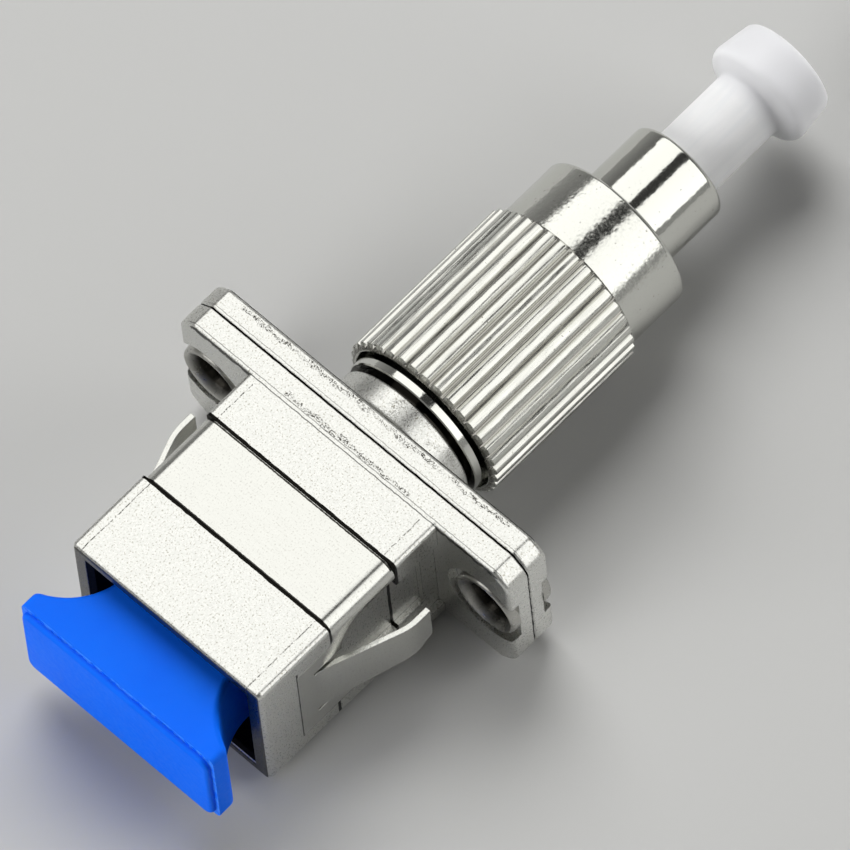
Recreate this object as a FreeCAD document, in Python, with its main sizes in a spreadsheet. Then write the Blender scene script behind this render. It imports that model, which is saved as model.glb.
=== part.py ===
import FreeCAD, Part
import Sketcher

import math
import os
import re

# Hybrid fibre adapter: a latching rectangular socket at one end and a screw-coupled ferrule plug
# at the other, with both dust covers on.
# The optical axis is X, towards the plug. Y runs along the flange and Z is up.
# The origin is on the optical axis, in the flange face that meets the panel.

sizes = {
    # die-cast shell round the socket's cavity
    "cavity_width": 10.6,
    "cavity_height": 7.5,
    "side_wall": 1.2,
    "top_wall": 0.95,
    "shell_length": 12.85,
    "shell_edge": 0.3,
    "mouth_bevel": 0.3,
    "key_slot_width": 2.3,
    "key_slot_length": 5.6,
    # flange, in two equal halves that the rivets hold together
    "ear_length": 4.9,
    "flange_half": 1.45,
    "flange_corner_length": 1.0,
    "flange_corner_drop": 0.75,
    "flange_corner_round": 0.4,
    "flange_end_round": 1.0,
    "front_edge": 0.25,
    "front_split_edge": 0.1,
    "back_split_edge": 0.2,
    "back_edge": 0.3,
    "ear_inset": 1.9,
    "ear_recess_gap": 0.5,
    "ear_recess_depth": 0.6,
    # hollow rivets in the flange ears
    "rivet_bore": 2.3,
    "rivet_wall": 0.35,
    "rivet_overhang": 0.5,
    "rivet_roll": 0.45,
    "rivet_rim_edge": 0.3,
    # spring clip of bent sheet round the shell
    "clip_sheet": 0.3,
    "clip_gap": 0.03,
    "clip_bend": 0.9,
    "band_front": 7.6,
    "band_rear": 3.06,
    "band_corner": 0.45,
    "leg_front": 10.2,
    "leg_top_inset": 1.65,
    "leg_drop": 3.4,
    "leg_rear_inset": 1.1,
    "leg_rear_start": 5.3,
    "leg_strip_end": 6.0,
    "tongue_root": 9.07,
    "tongue_top": 1.6,
    "tongue_drop": 2.1,
    "tongue_slot": 0.2,
    "tongue_bend_start": 0.35,
    "tongue_turn": 3.9,
    "tongue_end": 2.55,
    "tongue_flare": 1.8,
    "tongue_root_bend": 1.2,
    "tongue_turn_bend": 3.0,
    "tongue_end_drop": 1.4,
    "tongue_corner_drop": 0.9,
    "tongue_corner_length": 1.15,
    # recess in the shell's sides, behind the tongues
    "relief_inset": 1.95,
    "relief_drop": 2.6,
    "relief_wall": 0.45,
    "relief_rear": 1.0,
    "rear_recess_depth": 0.4,
    "rear_recess_drop": 3.8,
    # moulded latch insert and the back half of its sleeve holder
    "plate_ledge": 0.2,
    "plate_step": 0.4,
    "arm_thick": 0.6,
    "arm_gap": 0.5,
    "arm_height": 3.0,
    "arm_reach": 8.0,
    "hook_length": 1.0,
    "hook_lead": 0.5,
    "hook_height": 0.25,
    "hook_grip": 0.05,
    "holder_wall": 0.55,
    "holder_wall_back": 0.65,
    "holder_lip": 0.6,
    "holder_lip_gap": 0.125,
    "holder_disc_thick": 0.6,
    "sleeve_wall": 0.34,
    "sleeve_length": 11.4,
    "sleeve_slot": 0.5,
    "sleeve_end_play": 0.1,
    "sleeve_side_play": 0.05,
    # ferrule and fibre
    "ferrule_diameter": 2.5,
    "ferrule_rear": 0.3,
    "ferrule_protrusion": 4.2,
    "ferrule_bevel": 0.35,
    "fibre_diameter": 0.125,
    "ferrule_collar_length": 3.6,
    "seat_gap": 0.01,
    # cast neck and turned barrel
    "neck_inset": 0.45,
    "neck_length": 1.57,
    "neck_root": 0.25,
    "neck_edge": 0.2,
    "neck_groove": 0.31,
    "neck_groove_rise": 0.6,
    "spigot_wall": 0.85,
    "collar_length": 4.62,
    "collar_edge": 0.08,
    "collar_ring": 0.47,
    "collar_relief_length": 1.6,
    "collar_relief_depth": 0.45,
    "barrel_bore_gap": 0.05,
    "barrel_wall": 0.6,
    "barrel_length": 20.08,
    "barrel_edge": 0.3,
    "shoulder_rise": 0.55,
    "shoulder_length": 1.2,
    "key_width": 2.0,
    "key_height": 0.5,
    "key_setback": 1.5,
    # coupling nut and the split ring that keeps it on the barrel
    "thread_gap": 0.094,
    "thread_lead_in": 0.45,
    "nose_wall": 1.046,
    "nose_length": 3.95,
    "nose_edge": 0.25,
    "knurl_rise": 0.44,
    "knurl_length": 10.48,
    "knurl_ridges": 36,
    "knurl_depth": 0.28,
    "knurl_groove": 0.4,
    "knurl_floor": 0.14,
    "knurl_bevel": 0.35,
    "knurl_bevel_run": 0.2,
    "rim_wall": 0.53,
    "nut_rim_bevel": 0.06,
    "collar_gap": 0.175,
    "counterbore_depth": 3.98,
    "lip_width": 1.0,
    "lip_gap": 0.15,
    "ring_groove_depth": 0.55,
    "ring_thick": 0.8,
    "ring_play": 0.05,
    "ring_gap": 1.4,
    "nut_travel": 2.4,
    "stop_gap": 0.05,
    "running_gap": 0.1,
    # dust plug of the socket
    "plug_overhang": 0.15,
    "plug_side_gap": 0.65,
    "plug_head_stand": 3.95,
    "plug_head_thick": 1.4,
    "plug_shank_length": 9.2,
    "plug_flank_run": 3.9,
    "plug_head_edge": 0.4,
    "plug_edge": 0.35,
    "plug_bore_gap": 0.3,
    "plug_bore_end_gap": 0.8,
    # cap of the ferrule
    "cap_stem_gap": 0.35,
    "cap_insertion": 7.95,
    "cap_bore_gap": 0.03,
    "cap_end_gap": 0.3,
    "cap_head_floor": 0.8,
    "cap_head_rise": 1.12,
    "cap_head_taper": 0.27,
    "cap_head_length": 2.7,
    "cap_head_edge": 0.2,
    "cap_head_shoulder": 0.95,
}

# places along the optical axis, each worked out from the sizes above
mouth = "-shell_length"
flange_back = "2 * flange_half"
neck_end = f"({flange_back} + neck_length)"
collar_start = f"({neck_end} + neck_groove)"
collar_ring_end = f"({collar_start} + collar_ring)"
collar_relief_end = f"({collar_ring_end} + collar_relief_length)"
collar_end = f"({collar_start} + collar_length)"
barrel_front = f"({neck_end} + barrel_length)"
nut_lip_rear = f"({collar_end} + stop_gap)"
nut_rear = f"({nut_lip_rear} - counterbore_depth)"
ring_groove_rear = f"({nut_lip_rear} + lip_width)"
ring_rear = f"({ring_groove_rear} + ring_play)"
ring_front = f"({ring_rear} + ring_thick)"
ring_groove_front = f"({ring_front} + ring_play)"
shoulder_rear = f"({ring_front} + nut_travel + stop_gap)"
shoulder_front = f"({shoulder_rear} + shoulder_length)"
knurl_front = f"({nut_rear} + knurl_length)"
nut_front = f"({knurl_front} + nose_length)"
ferrule_tip = f"({barrel_front} + ferrule_protrusion)"
sleeve_front = "(ferrule_rear - sleeve_length / 2)"
sleeve_back = "(ferrule_rear + sleeve_length / 2)"
holder_front = f"({sleeve_front} - sleeve_end_play - holder_lip)"
holder_back = f"({sleeve_back} + sleeve_end_play + holder_lip)"
holder_disc_back = "(flange_half + holder_disc_thick)"
plug_inner_end = f"({mouth} + plug_shank_length)"
plug_face = f"({mouth} - plug_head_stand)"

# half widths and heights of the socket, from its cavity outwards
shell_half = "(cavity_width / 2 + side_wall)"
shell_top = "(cavity_height / 2 + top_wall)"
flange_end = f"({shell_half} + ear_length)"
ear_centre = f"({flange_end} - ear_inset)"
clip_seat_half = f"({shell_half} - clip_sheet - clip_gap)"
clip_seat_top = f"({shell_top} - clip_sheet - clip_gap)"
leg_top = f"({shell_top} - leg_top_inset)"
leg_rear_top = f"({shell_top} - leg_rear_inset)"
relief_top = f"({shell_top} - relief_inset)"
relief_floor = "(cavity_width / 2 + relief_wall)"
arm_outer = "(cavity_width / 2 - arm_gap)"
arm_inner = f"({arm_outer} - arm_thick)"
hook_tip = f"({arm_inner} - hook_height)"
plug_shank = f"({hook_tip} - hook_grip)"
plug_head = f"({shell_half} + plug_overhang)"

# radii of the turned pieces, from the ferrule outwards
ferrule = "(ferrule_diameter / 2)"
sleeve_bore = f"({ferrule} + seat_gap)"
sleeve_outer = f"({sleeve_bore} + sleeve_wall)"
holder_bore = f"({sleeve_outer} + sleeve_side_play)"
holder_outer = f"({holder_bore} + holder_wall)"
holder_lip_bore = f"({ferrule} + holder_lip_gap)"
holder_back_outer = f"({holder_bore} + holder_wall_back)"
barrel_bore = f"({holder_back_outer} + barrel_bore_gap)"
barrel = f"({barrel_bore} + barrel_wall)"
spigot = f"({barrel_bore} + spigot_wall)"
neck = f"({shell_top} - neck_inset)"
neck_groove_radius = f"({spigot} + neck_groove_rise)"
shoulder = f"({barrel} + shoulder_rise)"
thread_minor = f"({shoulder} + thread_gap)"
nut_lip = f"({shoulder} + lip_gap)"
ring_groove = f"({nut_lip} + ring_groove_depth)"
nut_nose = f"({thread_minor} + nose_wall)"
nut_outer = f"({nut_nose} + knurl_rise)"
counterbore = f"({nut_outer} - rim_wall)"
collar = f"({counterbore} - collar_gap)"
collar_relief = f"({collar} - collar_relief_depth)"
cap_stem = f"({barrel_bore} - cap_stem_gap)"

# radii of the rivets
rivet_bore_radius = "(rivet_bore / 2)"
rivet_shank = f"({rivet_bore_radius} + rivet_wall)"
rivet_rim = f"({rivet_shank} + rivet_overhang)"
rivet_mouth = f"({rivet_bore_radius} + rivet_roll)"
ear_recess = f"({rivet_rim} + ear_recess_gap)"

near = 1e-4
left_turn = 1
plane_signs = {"XY": 1, "XZ": -1, "YZ": 1}

doc = FreeCAD.newDocument("HybridFibreAdapter")
sheet = doc.addObject("Spreadsheet::Sheet", "Dims")
for row, (size_name, size) in enumerate(sizes.items(), 1):
    sheet.set(f"A{row}", size_name)
    sheet.set(f"B{row}", str(size))
    sheet.setAlias(f"B{row}", size_name)
doc.recompute()


def bound(text):
    """An expression in size names, written with the cells of the sheet."""
    return re.sub("[a-z_]+", lambda word: "Dims." + word.group(), text)


def measure(text):
    """The present value of an expression in size names."""
    return float(sheet.evalExpression(bound(text)))


def new_body(label):
    body = doc.addObject("PartDesign::Body", label)
    body.Label = label
    return body


def origin_feature(body, role):
    return next(feature for feature in body.Origin.OriginFeatures if feature.Role == role)


def new_sketch(body, name, plane, height):
    """An empty sketch on one of the body's origin planes, raised by a bound height."""
    sketch = body.newObject("Sketcher::SketchObject", name)
    sketch.AttachmentSupport = [(origin_feature(body, plane + "_Plane"), "")]
    sketch.MapMode = "FlatFace"
    sketch.setExpression("AttachmentOffset.Base.z", bound(height))
    return sketch


def bind(sketch, kind, references, text):
    """Adds a constraint whose value follows an expression."""
    index = sketch.addConstraint(Sketcher.Constraint(kind, *references, measure(text)))
    sketch.setExpression(f"Constraints[{index}]", bound(text))


def arc_between(start, end, radius, turn):
    """The short arc from start to end, with its centre to the left of the way for a left turn."""
    chord = end - start
    normal = FreeCAD.Vector(-chord.y, chord.x, 0).normalize()
    reach = math.sqrt(max(radius ** 2 - (chord.Length / 2) ** 2, 0))
    centre = (start + end) / 2 + normal * reach * turn
    first, last = (start, end) if turn == left_turn else (end, start)
    angles = [math.atan2(point.y - centre.y, point.x - centre.x) for point in (first, last)]
    circle = Part.Circle(centre, FreeCAD.Vector(0, 0, 1), radius)
    return Part.ArcOfCircle(circle, *angles)


def draw_outline(sketch, outline):
    """Draws a closed outline. A point with a radius and a turn is reached by an arc."""
    points = [FreeCAD.Vector(measure(point[0]), measure(point[1]), 0) for point in outline]
    ends = []
    for index, point in enumerate(outline):
        start = points[index - 1]
        end = points[index]
        if len(point) == 2:
            sketch.addGeometry(Part.LineSegment(start, end), False)
            ends.append((1, 2))
        else:
            radius, turn = point[2:]
            sketch.addGeometry(arc_between(start, end, measure(radius), turn), False)
            ends.append((1, 2) if turn == left_turn else (2, 1))
    for index, point in enumerate(outline):
        following = (index + 1) % len(outline)
        sketch.addConstraint(Sketcher.Constraint(
            "Coincident", index, ends[index][1], following, ends[following][0]))
        bind(sketch, "DistanceX", (-1, 1, index, ends[index][1]), point[0])
        bind(sketch, "DistanceY", (-1, 1, index, ends[index][1]), point[1])
        if len(point) > 2:
            bind(sketch, "Radius", (index,), point[2])


def draw_circle(sketch, centre, radius):
    place = FreeCAD.Vector(measure(centre[0]), measure(centre[1]), 0)
    up = FreeCAD.Vector(0, 0, 1)
    index = sketch.addGeometry(Part.Circle(place, up, measure(radius)), False)
    bind(sketch, "DistanceX", (-1, 1, index, 3), centre[0])
    bind(sketch, "DistanceY", (-1, 1, index, 3), centre[1])
    bind(sketch, "Radius", (index,), radius)


def add_slab(body, kind, name, plane, low, high, outline=None, circles=()):
    """Pads or pockets an outline, or circles, between two heights over a plane."""
    sign = plane_signs[plane]
    sketch = new_sketch(body, name + "Sketch", plane, low if sign > 0 else f"-({high})")
    if outline:
        draw_outline(sketch, outline)
    for centre, radius in circles:
        draw_circle(sketch, centre, radius)
    doc.recompute()
    before = body.Shape.Volume if body.Tip else 0
    feature = body.newObject("PartDesign::" + kind, name)
    feature.Profile = sketch
    feature.setExpression("Length", bound(f"({high}) - ({low})"))
    feature.Reversed = kind == "Pocket"
    doc.recompute()
    check_volume(body, kind, name, before)
    return feature


def check_volume(body, kind, name, before):
    """Stops where a cut took nothing away or an added form added nothing."""
    change = body.Shape.Volume - before
    cuts = kind in ("Pocket", "Groove")
    if (cuts and change > -near) or (not cuts and change < near):
        raise RuntimeError(f"{body.Label}: {name} changed the volume by {change}")


def pad(body, name, plane, outline, low, high):
    return add_slab(body, "Pad", name, plane, low, high, outline)


def pocket(body, name, plane, outline, low, high):
    return add_slab(body, "Pocket", name, plane, low, high, outline)


def bore(body, name, radius, low, high):
    """A round hole along the optical axis."""
    return add_slab(body, "Pocket", name, "YZ", low, high, circles=[(("0", "0"), radius)])


def turn_profile(body, name, outline):
    """Turns an outline of places along and distances from the optical axis."""
    sketch = new_sketch(body, name + "Sketch", "XY", "0")
    draw_outline(sketch, outline)
    doc.recompute()
    feature = body.newObject("PartDesign::Revolution", name)
    feature.Profile = sketch
    feature.ReferenceAxis = (sketch, ["H_Axis"])
    doc.recompute()
    check_volume(body, "Revolution", name, 0)
    return feature


def mirror(body, name, features, plane):
    pattern = body.newObject("PartDesign::Mirrored", name)
    pattern.Originals = features
    pattern.MirrorPlane = (origin_feature(body, plane + "_Plane"), [""])
    body.Tip = pattern
    doc.recompute()


def soften(body, kind, name, size, chosen):
    """Rounds or bevels the edges that a test picks from the body's present shape."""
    base = body.Tip
    edges = [f"Edge{index}" for index, edge in enumerate(base.Shape.Edges, 1) if chosen(edge)]
    if not edges:
        raise RuntimeError(f"{body.Label}: {name} found no edge")
    feature = body.newObject("PartDesign::" + kind, name)
    feature.Base = (base, edges)
    feature.setExpression("Radius" if kind == "Fillet" else "Size", bound(size))
    doc.recompute()


def lies_at(edge, axis, place):
    """Whether an edge lies whole in the plane across an axis at a place."""
    low = getattr(edge.BoundBox, axis + "Min")
    high = getattr(edge.BoundBox, axis + "Max")
    return abs(low - place) < near and abs(high - place) < near


def runs_along(edge, axis):
    """Whether an edge is straight and runs along an axis."""
    return abs(getattr(edge.BoundBox, axis + "Length") - edge.Length) < near


def is_round(edge):
    return edge.Curve.TypeId == "Part::GeomCircle"


def rectangle(low, high):
    return [(low[0], low[1]), (high[0], low[1]), (high[0], high[1]), (low[0], high[1])]


def centred_rectangle(half_width, half_height):
    return rectangle((f"-({half_width})", f"-({half_height})"), (half_width, half_height))


def rounded_rectangle(half_width, half_height, radius):
    inner_width = f"({half_width} - {radius})"
    inner_height = f"({half_height} - {radius})"
    return [
        (f"-{inner_width}", f"-{half_height}", radius, left_turn), (inner_width, f"-{half_height}"),
        (half_width, f"-{inner_height}", radius, left_turn), (half_width, inner_height),
        (inner_width, half_height, radius, left_turn), (f"-{inner_width}", half_height),
        (f"-{half_width}", inner_height, radius, left_turn), (f"-{half_width}", f"-{inner_height}"),
    ]


def flange_outline():
    """The flange seen along the axis, with bevelled corners."""
    side = f"({flange_end} - flange_corner_length)"
    drop = f"({shell_top} - flange_corner_drop)"
    return [
        (side, shell_top), (f"-{side}", shell_top), (f"-{flange_end}", drop), (f"-{flange_end}", f"-{drop}"),
        (f"-{side}", f"-{shell_top}"), (side, f"-{shell_top}"), (flange_end, f"-{drop}"), (flange_end, drop),
    ]


def start_flange(body, low, high, outer, outer_edge, split_edge):
    """One half of the flange, with its corners, its outer edge and its split edge rounded."""
    pad(body, "Flange", "YZ", flange_outline(), low, high)
    ends = [measure(flange_end), measure(f"-{flange_end}")]
    rims = [measure(shell_top), measure(f"-{shell_top}")]
    soften(body, "Fillet", "EndCorners", "flange_end_round",
           lambda edge: runs_along(edge, "X") and any(lies_at(edge, "Y", place) for place in ends))
    soften(body, "Fillet", "Corners", "flange_corner_round",
           lambda edge: runs_along(edge, "X") and any(lies_at(edge, "Z", place) for place in rims))
    soften(body, "Fillet", "OuterEdge", outer_edge, lambda edge: lies_at(edge, "X", measure(outer)))
    soften(body, "Fillet", "SplitEdge", split_edge, lambda edge: lies_at(edge, "X", measure("flange_half")))


def drill_ears(body, low, high, recess_low, recess_high):
    """Rivet holes through the flange ears, and the recesses that the rivet rims lie in."""
    centres = [(ear_centre, "0"), (f"-{ear_centre}", "0")]
    recesses = [(centre, ear_recess) for centre in centres]
    holes = [(centre, rivet_shank + " + seat_gap") for centre in centres]
    add_slab(body, "Pocket", "EarRecess", "YZ", recess_low, recess_high, circles=recesses)
    add_slab(body, "Pocket", "RivetHole", "YZ", low, high, circles=holes)


def channel_outline(half, top, bend, floor):
    """The space above and beside a rounded saddle, down to a floor on both sides."""
    start = f"({half} - ({bend}))"
    side = f"({top} - ({bend}))"
    sky = f"2 * {shell_top}"
    return [
        (f"-{flange_end}", floor), (f"-{half}", floor), (f"-{half}", side),
        (f"-{start}", top, bend, -left_turn), (start, top), (half, side, bend, -left_turn),
        (half, floor), (flange_end, floor), (flange_end, sky), (f"-{flange_end}", sky),
    ]


def on_mouth_rim(edge):
    """Whether an edge is on the rim of the cavity, at the socket's mouth."""
    box = edge.BoundBox
    within_width = max(-box.YMin, box.YMax) < measure("cavity_width / 2") + near
    within_height = max(-box.ZMin, box.ZMax) < measure("cavity_height / 2") + near
    return within_width and within_height and lies_at(edge, "X", measure(mouth))


def make_sc_housing():
    body = new_body("sc_housing")
    start_flange(body, "0", "flange_half", "0", "front_edge", "front_split_edge")
    pad(body, "Shell", "YZ", rounded_rectangle(shell_half, shell_top, "shell_edge"), mouth, "front_edge")
    soften(body, "Fillet", "MouthEdge", "shell_edge", lambda edge: lies_at(edge, "X", measure(mouth)))
    cavity = centred_rectangle("cavity_width / 2", "cavity_height / 2")
    pocket(body, "Cavity", "YZ", cavity, mouth, "flange_half")
    soften(body, "Chamfer", "MouthBevel", "mouth_bevel", on_mouth_rim)
    plate_seat = centred_rectangle("cavity_width / 2 + plate_ledge + seat_gap",
                                   "cavity_height / 2 + plate_ledge + seat_gap")
    pocket(body, "PlateSeat", "YZ", plate_seat, "-plate_step", "flange_half")
    key_slot = rectangle(("-key_slot_width / 2", f"-2 * {shell_top}"), ("key_slot_width / 2", "0"))
    pocket(body, "KeySlot", "YZ", key_slot, mouth, mouth + " + key_slot_length")
    cut_clip_seat(body)
    drill_ears(body, "0", "flange_half", "0", "ear_recess_depth")


def cut_clip_seat(body):
    """The channel that the clip lies flush in, and the recesses behind its two tongues."""
    floor = "-(leg_drop + clip_gap)"
    saddle = channel_outline(clip_seat_half, clip_seat_top, "clip_bend - clip_sheet - clip_gap", floor)
    pocket(body, "BandChannel", "YZ", saddle, "-(band_front + clip_gap)", "-(band_rear - clip_gap)")
    leg_seat = [
        ("-(leg_front + clip_gap)", floor), ("-band_front", floor),
        ("-band_front", leg_top + " + band_corner"),
        ("-(band_front + clip_gap)", leg_top + " + band_corner"),
        ("-(band_front + band_corner)", leg_top + " + clip_gap", "band_corner - clip_gap", -left_turn),
        ("-(leg_front + clip_gap)", leg_top + " + clip_gap"),
    ]
    tongue_relief = rectangle(("-tongue_root", "-relief_drop"), ("-relief_rear", relief_top))
    rear_recess = rectangle(("-band_rear", "-rear_recess_drop"), ("0", relief_top))
    cuts = (
        ("LegSeat", leg_seat, clip_seat_half),
        ("TongueRelief", tongue_relief, relief_floor),
        ("RearRecess", rear_recess, shell_half + " - rear_recess_depth"),
    )
    for name, outline, side in cuts:
        cut = pocket(body, name, "XZ", outline, side, flange_end)
        mirror(body, name + "Mirror", [cut], "XZ")


def make_fc_housing():
    body = new_body("fc_housing")
    start_flange(body, "flange_half", flange_back, flange_back, "back_edge", "back_split_edge")
    add_slab(body, "Pad", "Neck", "YZ", "flange_half", neck_end, circles=[(("0", "0"), neck)])
    soften(body, "Fillet", "NeckRoot", "neck_root",
           lambda edge: lies_at(edge, "X", measure(flange_back)) and is_round(edge))
    soften(body, "Fillet", "NeckEdge", "neck_edge",
           lambda edge: lies_at(edge, "X", measure(neck_end)) and is_round(edge))
    bore(body, "SpigotBore", spigot + " + seat_gap", "flange_half", neck_end)
    drill_ears(body, "flange_half", flange_back, flange_back + " - ear_recess_depth", flange_back)


def make_rivet(label, side):
    """A hollow rivet, rolled over at both ends and flush with the flange faces."""
    body = new_body(label)
    rim_back = flange_back + " - ear_recess_depth"
    turn_profile(body, "Rivet", [
        ("0", rivet_mouth, "rivet_roll", -left_turn), ("0", rivet_rim + " - rivet_rim_edge"),
        ("rivet_rim_edge", rivet_rim, "rivet_rim_edge", -left_turn), ("ear_recess_depth", rivet_rim),
        ("ear_recess_depth", rivet_shank), (rim_back, rivet_shank), (rim_back, rivet_rim),
        (flange_back + " - rivet_rim_edge", rivet_rim),
        (flange_back, rivet_rim + " - rivet_rim_edge", "rivet_rim_edge", -left_turn),
        (flange_back, rivet_mouth),
        (flange_back + " - rivet_roll", rivet_bore_radius, "rivet_roll", -left_turn),
        ("rivet_roll", rivet_bore_radius),
    ])
    body.setExpression("Placement.Base.y", bound(f"{side} * {ear_centre}"))


def make_retention_clip():
    body = new_body("retention_clip")
    inner_half = f"({shell_half} - clip_sheet)"
    inner_top = f"({shell_top} - clip_sheet)"
    inner_bend = "(clip_bend - clip_sheet)"
    bend_side = f"({shell_top} - clip_bend)"
    bend_start = f"({shell_half} - clip_bend)"
    pad(body, "Saddle", "YZ", [
        (f"-{shell_half}", "-leg_drop"), (f"-{shell_half}", bend_side),
        (f"-{bend_start}", shell_top, "clip_bend", -left_turn), (bend_start, shell_top),
        (shell_half, bend_side, "clip_bend", -left_turn), (shell_half, "-leg_drop"),
        (inner_half, "-leg_drop"), (inner_half, bend_side),
        (bend_start, inner_top, inner_bend, left_turn), (f"-{bend_start}", inner_top),
        (f"-{inner_half}", bend_side, inner_bend, left_turn), (f"-{inner_half}", "-leg_drop"),
    ], "-leg_front", "-band_rear")
    sky = f"2 * {shell_top}"
    front_cut = [
        (mouth, leg_top), ("-(band_front + band_corner)", leg_top),
        ("-band_front", leg_top + " + band_corner", "band_corner", left_turn),
        ("-band_front", sky), (mouth, sky),
    ]
    pocket(body, "FrontCut", "XZ", front_cut, f"-{flange_end}", flange_end)
    slot_top = "(tongue_top + tongue_slot)"
    slot_bottom = "-(tongue_drop + tongue_slot)"
    curve = f"({leg_rear_top} - {slot_top})"
    window = [
        ("0", leg_rear_top), ("-leg_rear_start", leg_rear_top),
        (f"-(leg_rear_start + {curve})", slot_top, curve, left_turn), ("-tongue_root", slot_top),
        ("-tongue_root", slot_bottom), ("-leg_strip_end", slot_bottom), ("-leg_strip_end", f"-{sky}"),
        ("0", f"-{sky}"),
    ]
    pocket(body, "Window", "XZ", window, f"-{flange_end}", flange_end)
    add_tongues(body)


def add_tongues(body):
    """The two tongues, bent outwards from the legs and straight again at their free ends."""
    turn_out = f"({shell_half} + tongue_flare)"
    bend_start = "-(tongue_root - tongue_bend_start)"
    tongue = pad(body, "Tongue", "XY", [
        ("-(tongue_root + clip_sheet)", shell_half), (bend_start, shell_half), ("-tongue_turn", turn_out),
        ("-tongue_end", turn_out), ("-tongue_end", turn_out + " - clip_sheet"),
        ("-tongue_turn", turn_out + " - clip_sheet"), (bend_start, shell_half + " - clip_sheet"),
        ("-(tongue_root + clip_sheet)", shell_half + " - clip_sheet"),
    ], "-tongue_drop", "tongue_top")
    mirror(body, "TongueMirror", [tongue], "XZ")
    for place, bend in ((bend_start, "tongue_root_bend"), ("-tongue_turn", "tongue_turn_bend")):
        soften(body, "Fillet", bend.title().replace("_", ""), bend,
               lambda edge: runs_along(edge, "Z") and lies_at(edge, "X", measure(place)))
    taper = [
        (bend_start, "-tongue_drop"), ("-(tongue_end + tongue_corner_length)", "-tongue_end_drop"),
        ("-tongue_end", "-tongue_corner_drop"), ("-tongue_end", "-tongue_drop"),
    ]
    trim = pocket(body, "TongueTaper", "XZ", taper, shell_half + " - clip_sheet", flange_end)
    mirror(body, "TaperMirror", [trim], "XZ")


def make_latch_insert():
    """Base plate, sleeve holder tube and two hooked latch arms, moulded in one."""
    body = new_body("latch_insert")
    plate = centred_rectangle("cavity_width / 2 + plate_ledge", "cavity_height / 2 + plate_ledge")
    pad(body, "Plate", "YZ", plate, "-plate_step", "flange_half")
    tube = [(("0", "0"), holder_outer)]
    add_slab(body, "Pad", "HolderTube", "YZ", holder_front, "flange_half", circles=tube)
    bore(body, "LipBore", holder_lip_bore, holder_front, "flange_half")
    bore(body, "SleeveBore", holder_bore, holder_front + " + holder_lip", "flange_half")
    arm = pad(body, "LatchArm", "XY", [
        ("0", arm_outer), ("-arm_reach", arm_outer), ("-arm_reach", hook_tip + " + hook_lead"),
        ("-(arm_reach - hook_lead)", hook_tip), ("-(arm_reach - hook_length)", hook_tip),
        ("-(arm_reach - hook_length)", arm_inner), ("0", arm_inner),
    ], "-arm_height / 2", "arm_height / 2")
    mirror(body, "LatchArmMirror", [arm], "XZ")


def make_sleeve_holder_back():
    body = new_body("sleeve_holder_back")
    lip = holder_back + " - holder_lip"
    turn_profile(body, "HolderBack", [
        ("flange_half", holder_bore), ("flange_half", spigot), (holder_disc_back, spigot),
        (holder_disc_back, holder_back_outer), (holder_back, holder_back_outer),
        (holder_back, holder_lip_bore), (lip, holder_lip_bore), (lip, holder_bore),
    ])


def make_split_sleeve():
    body = new_body("split_sleeve")
    turn_profile(body, "Sleeve", [
        (sleeve_front, sleeve_bore), (sleeve_front, sleeve_outer), (sleeve_back, sleeve_outer),
        (sleeve_back, sleeve_bore),
    ])
    slot = rectangle((sleeve_front, "-sleeve_slot / 2"), (sleeve_back, "sleeve_slot / 2"))
    pocket(body, "Slot", "XY", slot, "0", f"2 * {sleeve_outer}")


def make_ferrule():
    body = new_body("ferrule")
    fibre_bore = "fibre_diameter / 2"
    turn_profile(body, "Ferrule", [
        ("ferrule_rear", fibre_bore), ("ferrule_rear", ferrule + " - ferrule_bevel"),
        ("ferrule_rear + ferrule_bevel", ferrule), (ferrule_tip + " - ferrule_bevel", ferrule),
        (ferrule_tip, ferrule + " - ferrule_bevel"), (ferrule_tip, fibre_bore),
    ])


def make_fibre():
    body = new_body("fibre")
    fibre = [(("0", "0"), "fibre_diameter / 2")]
    add_slab(body, "Pad", "Fibre", "YZ", "ferrule_rear", ferrule_tip, circles=fibre)


def make_ferrule_collar():
    body = new_body("ferrule_collar")
    start = f"({holder_back} + sleeve_end_play)"
    end = f"({start} + ferrule_collar_length)"
    outer = f"({barrel_bore} - seat_gap)"
    turn_profile(body, "FerruleCollar", [
        (start, sleeve_bore), (start, outer + " - collar_edge"), (start + " + collar_edge", outer),
        (end + " - collar_edge", outer), (end, outer + " - collar_edge"), (end, sleeve_bore),
    ])


def make_fc_barrel():
    """Turned barrel: spigot in the neck, relieved collar, shoulder that stops the nut, and nose."""
    body = new_body("fc_barrel")
    spigot_rear = holder_disc_back + " + seat_gap"
    turn_profile(body, "Barrel", [
        (spigot_rear, barrel_bore), (spigot_rear, spigot), (neck_end, spigot),
        (neck_end, neck_groove_radius), (collar_start, neck_groove_radius),
        (collar_start, collar + " - collar_edge"),
        (collar_start + " + collar_edge", collar), (collar_ring_end, collar),
        (collar_ring_end, collar_relief), (collar_relief_end, collar_relief), (collar_relief_end, collar),
        (collar_end + " - collar_edge", collar), (collar_end, collar + " - collar_edge"),
        (collar_end, barrel), (shoulder_rear, barrel),
        (shoulder_rear, shoulder), (shoulder_front, shoulder), (shoulder_front, barrel),
        (barrel_front + " - barrel_edge", barrel),
        (barrel_front, barrel + " - barrel_edge", "barrel_edge", -left_turn), (barrel_front, barrel_bore),
    ])
    key_root = f"-({barrel_bore} + {barrel}) / 2"
    key = rectangle(("-key_width / 2", f"-({barrel} + key_height)"), ("key_width / 2", key_root))
    pad(body, "Key", "YZ", key, shoulder_front, barrel_front + " - key_setback")


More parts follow.
